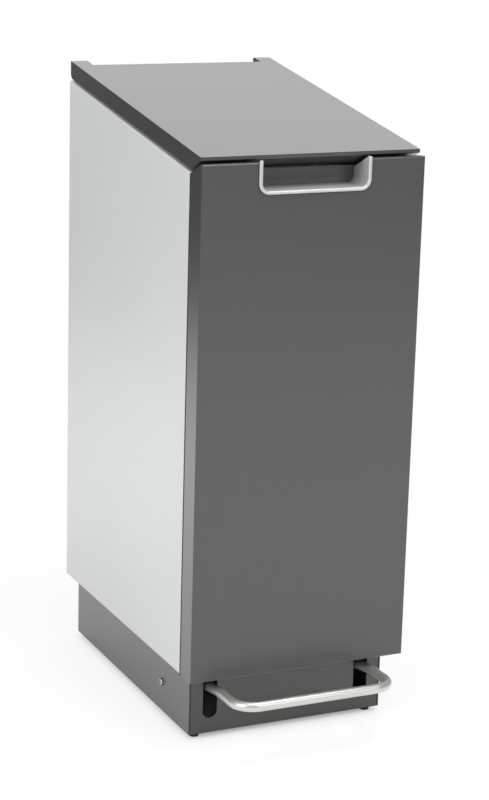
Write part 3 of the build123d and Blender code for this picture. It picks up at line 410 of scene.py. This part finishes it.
band = bmesh.new()
band_path = u_path(grip_half - bead, door_y, grip_low + bead, band_uncut)
start = bmesh.ops.create_vert(band, co=band_path[0])["vert"]
carry(band, start, band_path, [(grip_corner - bead) * MM] * 2, grip_steps)
draw_out(band, band.verts[:] + band.edges[:], mm(0, band_depth, 0))
for height, slope in ((grip_high, 0.0), (clear_of_lid, flange_slope)):
    bmesh.ops.bisect_plane(band, geom=band.verts[:] + band.edges[:] + band.faces[:],
                           plane_co=mm(0, door_y, height), plane_no=(0, slope, 1),
                           clear_outer=True)
bmesh.ops.recalc_face_normals(band, faces=band.faces[:])
# The wall grows away from the opening, whichever way the open sheet's faces came out
side_wall = max(band.faces, key=lambda face: face.calc_center_median().x)
outward = -1 if side_wall.normal.x > 0 else 1
bmesh.ops.solidify(band, geom=band.faces[:], thickness=outward * band_wall * MM)
bmesh.ops.recalc_face_normals(band, faces=band.faces[:])
round_edges(band, [edge for edge in band.edges
                   if edge.is_manifold and edge.calc_face_angle() > sharp_radians],
            band_rounding * MM)
joined = bpy.data.meshes.new("grip_band")
band.to_mesh(joined)
band.free()
work.from_mesh(joined)
bpy.data.meshes.remove(joined)
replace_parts(finish_piece("cast_grip", work, "drawer", "cast_grip"), "grip")

# Rubber strips on the side panels' front flanges, which the front closes on, each with a black
# bead that fills the corner beside the panel's fold, as painted shade for the shaded gap there.
# Each has a size, and its centre's x, y and z
strip = ((9.0, 1.9, 699.0), (159.4, -175.25, 451.0))
# The corner bead is painted shade: black rubber that draws the shaded gap beside the fold
corner_painted_shade_bead = ((2.6, 3.9, 702.6), (163.63, -174.35, 450.3))
strip_rounding = 0.6
work = bmesh.new()
for side in (-1, 1):
    for size, (x, y, z) in (strip, corner_painted_shade_bead):
        block = bmesh.ops.create_cube(work, size=1.0)["verts"]
        bmesh.ops.scale(work, vec=mm(*size), verts=block)
        bmesh.ops.translate(work, vec=mm(side * x, y, z), verts=block)
round_edges(work, work.edges[:], strip_rounding * MM)
finish_piece("front_seal_strips_and_painted_shade", work, "cabinet", "rubber_parts")

# Weld beads round the cross tube, at both faces of the lever plates and of the rear arm
tube_y = -78.0
tube_z = 51.6
weld_radius = 10.6
weld_thickness = 1.7
weld_places = (-111.95, -106.95, -3.5, 3.5, 106.95, 111.95)
work = bmesh.new()
for x in weld_places:
    ring = draw_ring(work, 10, weld_thickness * MM,
                     Matrix.Translation(mm(x, tube_y + weld_radius, tube_z)))
    bmesh.ops.spin(work, geom=ring, cent=mm(x, tube_y, tube_z), axis=(1, 0, 0),
                   dvec=(0, 0, 0), angle=math.tau, steps=48, use_merge=True)
finish_piece("pedal_weld_beads", work, "pedal", "plated_steel")

# Liner: swaged rings that stiffen its thin walls, at these shares of its height
liner_mid = 4.158
liner_half_x = 130.3
liner_half_y = 173.758
liner_low = 109.2
liner_height = 664.0
liner_taper = 8.0
liner_corner = 28
swage = 4.4
swage_places = (0.30, 0.62)
work = bmesh.new()
for share in swage_places:
    half_x = liner_half_x - liner_taper * (1 - share)
    half_y = liner_half_y - liner_taper * (1 - share)
    z = liner_low + liner_height * share
    front_y = liner_mid - half_y
    rear_y = liner_mid + half_y
    rod(work, [mm(0, front_y, z), mm(half_x, front_y, z), mm(half_x, rear_y, z),
               mm(-half_x, rear_y, z), mm(-half_x, front_y, z), mm(0, front_y, z)],
        [liner_corner * MM] * 4, 1.6 * swage * MM, 0.5 * swage * MM, (0, 1, 0), steps=10,
        segments=12, closed=True)
finish_piece("liner_swages", work, "drawer", "galvanised_sheet")


# Stage, in metres: a pale floor that fades to white, soft lamps and the camera

floor_radius = 9.0
footprint_centre = (0.0, 0.045, 0.0)
footprint_half = (0.15, 0.22, 0.0)
lit_centre = (0.2, -0.9, 0.0)
lit_full = 2.6
lit_end = 4.0
# Only reflections show this much, which is brighter than the white that the camera sees
lit_glow = 1.45

floor_mesh = bpy.data.meshes.new("floor")
work = bmesh.new()
bmesh.ops.create_circle(work, cap_ends=True, segments=96, radius=floor_radius)
work.to_mesh(floor_mesh)
work.free()
floor = bpy.data.objects.new("floor", floor_mesh)
bpy.context.scene.collection.objects.link(floor)

floor_paint, tree, base, coords = new_material("white_studio_floor")
set_inputs(base, {"Base Color": linear("f4f4f2"), "Roughness": 0.9})
# Distance outside the plinth's footprint, so that no glow shows through the plinth's slots
centred = add_node(tree, "ShaderNodeVectorMath", {"operation": "SUBTRACT", 1: footprint_centre},
                   {0: coords})
folded = add_node(tree, "ShaderNodeVectorMath", {"operation": "ABSOLUTE"},
                  {0: centred.outputs["Vector"]})
outside = add_node(tree, "ShaderNodeVectorMath", {"operation": "SUBTRACT", 1: footprint_half},
                   {0: folded.outputs["Vector"]})
sides = add_node(tree, "ShaderNodeSeparateXYZ", None, {"Vector": outside.outputs["Vector"]})
beyond = add_node(tree, "ShaderNodeMath", {"operation": "MAXIMUM"},
                  {0: sides.outputs["X"], 1: sides.outputs["Y"]})
under = add_node(tree, "ShaderNodeMapRange", {"From Min": -0.03, "From Max": 0.012},
                 {"Value": beyond.outputs["Value"]})
# What the camera sees: the floor and its shadow near the plinth, fading to plain white
fade = add_node(tree, "ShaderNodeMapRange",
                {"From Min": 0.0, "From Max": 0.7, "To Min": 0.8,
                 "interpolation_type": "SMOOTHSTEP"},
                {"Value": beyond.outputs["Value"]})
# What reflections show: the lit part of the studio floor, which ends a few metres away
forward = add_node(tree, "ShaderNodeVectorMath", {"operation": "SUBTRACT", 1: lit_centre},
                   {0: coords})
reach = add_node(tree, "ShaderNodeVectorMath", {"operation": "LENGTH"},
                 {0: forward.outputs["Vector"]})
lit = add_node(tree, "ShaderNodeMapRange",
               {"From Min": lit_full, "From Max": lit_end, "To Min": lit_glow, "To Max": 0.0,
                "interpolation_type": "SMOOTHSTEP"},
               {"Value": reach.outputs["Value"]})
rays = add_node(tree, "ShaderNodeLightPath")
shown = add_node(tree, "ShaderNodeMath", {"operation": "MULTIPLY"},
                 {0: under.outputs["Result"], 1: fade.outputs["Result"]})
shade = add_node(tree, "ShaderNodeMapRange",
                 {"From Min": 0.0, "From Max": 0.8, "To Min": 0.03,
                  "interpolation_type": "SMOOTHSTEP"},
                 {"Value": beyond.outputs["Value"]})
near = add_node(tree, "ShaderNodeMath", {"operation": "MULTIPLY"},
                {0: under.outputs["Result"], 1: shade.outputs["Result"]})
mirrored = add_node(tree, "ShaderNodeMath", {"operation": "MULTIPLY"},
                    {0: near.outputs["Value"], 1: rays.outputs["Is Glossy Ray"]})
direct = add_node(tree, "ShaderNodeMath", {"operation": "MULTIPLY"},
                  {0: shown.outputs["Value"], 1: rays.outputs["Is Camera Ray"]})
amount = add_node(tree, "ShaderNodeMath", {"operation": "MAXIMUM"},
                  {0: direct.outputs["Value"], 1: mirrored.outputs["Value"]})
level = add_node(tree, "ShaderNodeMix", {"data_type": "FLOAT", NUMBER_B: 1.0},
                 {FACTOR: rays.outputs["Is Camera Ray"], NUMBER_A: lit.outputs["Result"]})
glow = add_node(tree, "ShaderNodeEmission", {"Color": WHITE},
                {"Strength": level.outputs[NUMBER_RESULT]})
blend = add_node(tree, "ShaderNodeMixShader", None,
                 {0: amount.outputs["Value"], 1: base.outputs["BSDF"],
                  2: glow.outputs["Emission"]})
connect(tree, tree.nodes["Material Output"], {"Surface": blend.outputs["Shader"]})
floor_mesh.materials.append(floor_paint)

# The world is white to the camera, and dimmer as a light and in reflections
world_light = 0.62
world_gloss = 0.35
world = bpy.data.worlds.new("studio")
bpy.context.scene.world = world
world.use_nodes = True
tree = world.node_tree
sky = tree.nodes["Background"]
set_inputs(sky, {"Color": WHITE})
rays = add_node(tree, "ShaderNodeLightPath")
seen = add_node(tree, "ShaderNodeMath", {"operation": "MAXIMUM"},
                {0: rays.outputs["Is Camera Ray"], 1: rays.outputs["Is Transmission Ray"]})
gloss = add_node(tree, "ShaderNodeMix",
                 {"data_type": "FLOAT", NUMBER_A: world_light, NUMBER_B: world_gloss},
                 {FACTOR: rays.outputs["Is Glossy Ray"]})
level = add_node(tree, "ShaderNodeMix", {"data_type": "FLOAT", NUMBER_B: 1.0},
                 {FACTOR: seen.outputs["Value"], NUMBER_A: gloss.outputs[NUMBER_RESULT]})
connect(tree, sky, {"Strength": level.outputs[NUMBER_RESULT]})


def soft_box(name, place, target, width, height, watts):
    """A rectangular area lamp at place that faces target."""
    lamp = bpy.data.lights.new(name, "AREA")
    lamp.shape = "RECTANGLE"
    lamp.size = width
    lamp.size_y = height
    lamp.energy = watts
    holder = bpy.data.objects.new(name, lamp)
    holder.location = place
    holder.rotation_euler = (Vector(target) - Vector(place)).to_track_quat("-Z", "Y").to_euler()
    holder.visible_camera = False
    bpy.context.scene.collection.objects.link(holder)


middle = (0.0, 0.0, 0.45)
lid_front = (0.0, -0.2, 0.8)
lid_middle = (0.0, 0.0, 0.9)
soft_box("left_lamp", (-2.6, -0.9, 1.6), middle, width=1.8, height=2.0, watts=42)
soft_box("front_lamp", (0.9, -2.8, 1.7), middle, width=1.4, height=1.8, watts=20)
soft_box("top_lamp", (-0.2, -1.0, 2.9), middle, width=2.2, height=1.6, watts=27)
soft_box("upper_lamp", (0.75, -0.65, 2.8), lid_front, width=0.7, height=0.6, watts=15)
soft_box("back_lamp", (1.6, 3.0, 2.9), lid_middle, width=3.4, height=2.2, watts=22)

# Place in metres, turn in degrees and lens in millimetres, as fitted to the object's edges
camera_place = (-1.29522, -2.77349, 1.23771)
camera_turn = (75.3487, -1.5666, -24.6962)
camera_lens = 98.07
sensor_width = 36.0
lens = bpy.data.cameras.new("camera")
lens.sensor_width = sensor_width
lens.lens = camera_lens
camera = bpy.data.objects.new("camera", lens)
camera.location = camera_place
camera.rotation_euler = [math.radians(turn) for turn in camera_turn]
bpy.context.scene.collection.objects.link(camera)
bpy.context.scene.camera = camera

bpy.context.scene.view_settings.view_transform = "Standard"
